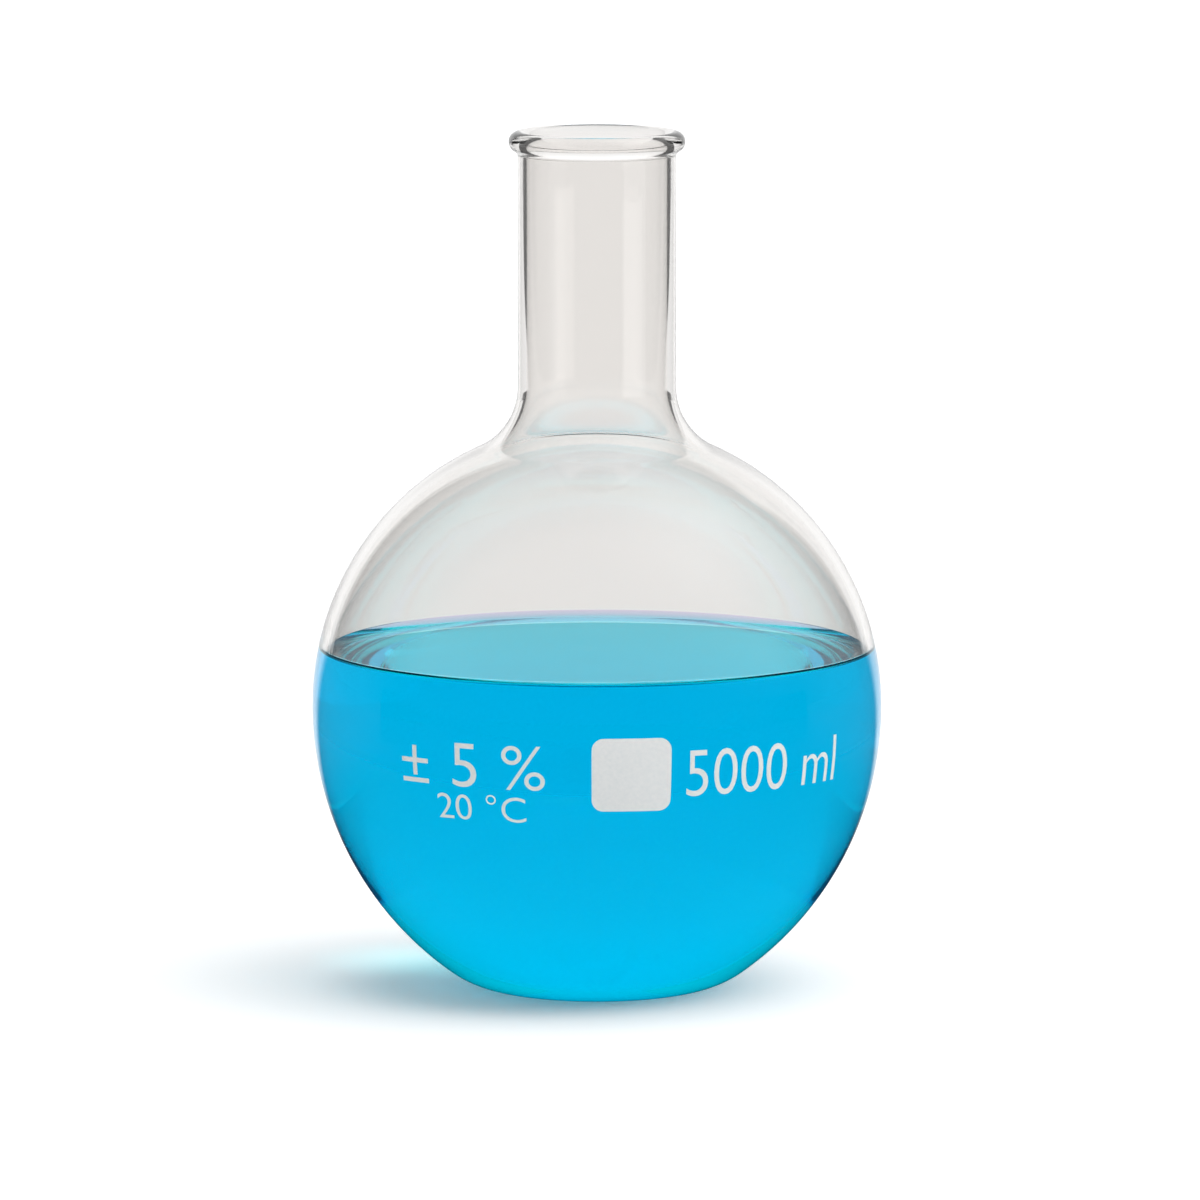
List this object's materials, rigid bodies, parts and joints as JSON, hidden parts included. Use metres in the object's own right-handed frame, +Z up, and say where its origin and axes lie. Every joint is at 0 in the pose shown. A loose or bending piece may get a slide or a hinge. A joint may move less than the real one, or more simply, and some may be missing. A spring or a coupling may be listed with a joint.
{
  "type": "flat bottom flask",
  "caption": "Round glass laboratory flask with a flattened foot, a straight cylindrical neck and a beaded rim, part filled with clear blue liquid.",
  "frame": {"origin": "middle of the foot, on the surface the flask stands on", "axes": "+Z up along the neck and the turning axis, out of the mouth; the front with the printed marks faces -Y"},
  "size_m": [0.223, 0.223, 0.3361],
  "materials": {
    "glass": "clear polished",
    "liquid": "clear, wet"
  },
  "bodies": {
    "root": {"flask": "glass", "liquid": "liquid"}
  },
  "joints": []
}
